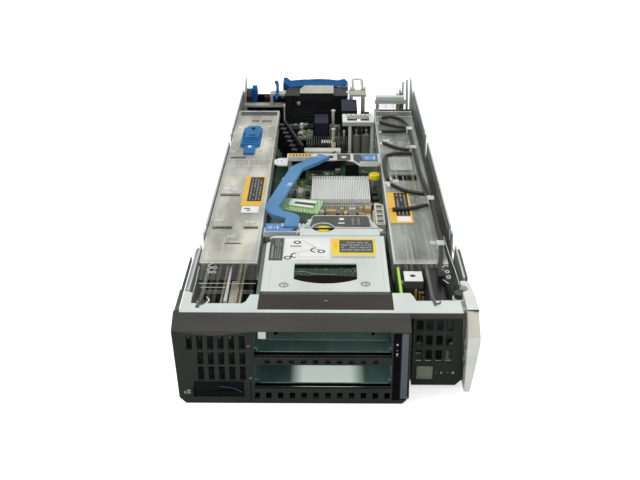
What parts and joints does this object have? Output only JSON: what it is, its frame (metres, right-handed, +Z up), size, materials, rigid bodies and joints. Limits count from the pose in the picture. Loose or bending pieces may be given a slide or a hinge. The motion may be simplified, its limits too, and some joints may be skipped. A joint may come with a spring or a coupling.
{
  "type": "blade server",
  "caption": "Open half-height blade server: sheet tray with bezel, swing handle, two-bay drive cage, boards, clear air guides, lift handle and rear midplane connector.",
  "frame": {"origin": "middle of the footprint, on the underside of the tray", "axes": "+X to the right seen from the front, +Y from the bezel to the midplane connector, +Z up"},
  "size_m": [0.181, 0.517, 0.0554],
  "materials": {
    "galvanised": "satin",
    "light_sheet": "satin",
    "cast_alloy": "matte",
    "dark_plastic": "fine texture",
    "dark_sheet": "satin",
    "lamp_strip": "gloss",
    "button_grey": "matte",
    "steel": "bright",
    "grey_steel": "satin",
    "board_green": "satin",
    "pale_board": "satin",
    "black_plastic": "satin",
    "socket_plastic": "satin",
    "pale_plastic": "satin",
    "module_grey": "matte",
    "clear_plastic": "clear",
    "blue_plastic": "satin",
    "yellow_plastic": "satin",
    "bare_alloy": "satin",
    "dark_alloy": "anodised",
    "can": "satin",
    "cable_jacket": "matte"
  },
  "bodies": {
    "chassis": {"chassis_tray": "galvanised", "side_plate_left": "galvanised", "side_plate_right": "galvanised", "drive_cage": "galvanised", "front_flange": "light_sheet", "cage_top": "light_sheet", "front_bracket": "light_sheet", "rear_bracket": "light_sheet", "bezel": "dark_plastic", "cage_front_cover": "dark_sheet", "led_column": "lamp_strip", "handle_pin": "steel", "lift_pin": "steel", "screws": "steel", "standoffs": "steel", "connector_plate": "steel", "frame_beam": "steel", "quarter_turn_posts": "steel", "rear_crossbeam": "grey_steel", "system_board": "board_green", "drive_backplane": "board_green", "cage_board": "board_green", "mezzanine_board": "board_green", "riser_card": "board_green", "slanted_card": "board_green", "option_card": "pale_board", "drive_connectors": "black_plastic", "mezzanine_connector": "black_plastic", "midplane_connector": "black_plastic", "second_connector": "black_plastic", "cube_connector": "black_plastic", "rear_sockets": "black_plastic", "rear_latch": "black_plastic", "power_pack": "black_plastic", "memory_sockets_left": "socket_plastic", "memory_sockets_right": "socket_plastic", "memory_latches": "pale_plastic", "header_strip": "pale_plastic", "side_connector": "pale_plastic", "riser_socket": "pale_plastic", "battery_module": "module_grey", "baffle_left": "clear_plastic", "baffle_right": "clear_plastic", "cable_clips": "clear_plastic", "connector_cap": "blue_plastic", "mezzanine_heat_sink": "bare_alloy", "rear_heat_sink": "dark_alloy", "capacitors": "can", "cable_trunk": "cable_jacket", "cable_branches": "cable_jacket"},
    "handle": {"handle_cover": "dark_plastic", "handle_cam": "cast_alloy"},
    "power_button": {"power_button": "button_grey"},
    "release_button": {"release_button": "dark_plastic"},
    "serial_pull_tab": {"serial_pull_tab": "dark_plastic"},
    "lift_handle": {"lift_handle": "blue_plastic"},
    "quarter_turn_front": {"quarter_turn_front": "yellow_plastic"},
    "quarter_turn_rear": {"quarter_turn_rear": "yellow_plastic"},
    "baffle_latch": {"baffle_latch": "blue_plastic"},
    "rear_bail": {"rear_bail": "steel"}
  },
  "joints": [
    {"name": "handle_swing", "type": "hinge", "parent": "chassis", "child": "handle", "pos_m": [0.082, -0.2135, 0.025], "axis": [0, 0, 1], "range_deg": [0, 50]},
    {"name": "power_press", "type": "slide", "parent": "handle", "child": "power_button", "axis": [0, 1, 0], "range_m": [0, 0.001], "stiffness_N_per_m": 400, "springref_m": -0.001},
    {"name": "release_press", "type": "slide", "parent": "chassis", "child": "release_button", "axis": [0, 1, 0], "range_m": [0, 0.0015], "stiffness_N_per_m": 400, "springref_m": -0.001},
    {"name": "tab_slide", "type": "slide", "parent": "chassis", "child": "serial_pull_tab", "axis": [0, -1, 0], "range_m": [0, 0.045]},
    {"name": "lift_swing", "type": "hinge", "parent": "chassis", "child": "lift_handle", "pos_m": [-0.0256, -0.1195, 0.0537], "axis": [1, 0, 0], "range_deg": [0, 90]},
    {"name": "front_quarter_turn", "type": "hinge", "parent": "chassis", "child": "quarter_turn_front", "pos_m": [-0.0028, -0.1229, 0.048], "axis": [0, 0, 1], "range_deg": [0, 90]},
    {"name": "rear_quarter_turn", "type": "hinge", "parent": "chassis", "child": "quarter_turn_rear", "pos_m": [0.038, -0.002, 0.044], "axis": [0, 0, 1], "range_deg": [0, 90]},
    {"name": "latch_slide", "type": "slide", "parent": "chassis", "child": "baffle_latch", "axis": [0, -1, 0], "range_m": [0, 0.005]},
    {"name": "bail_swing", "type": "hinge", "parent": "chassis", "child": "rear_bail", "pos_m": [0.0302, 0.2225, 0.0531], "axis": [1, 0, 0], "range_deg": [0, 80]}
  ]
}
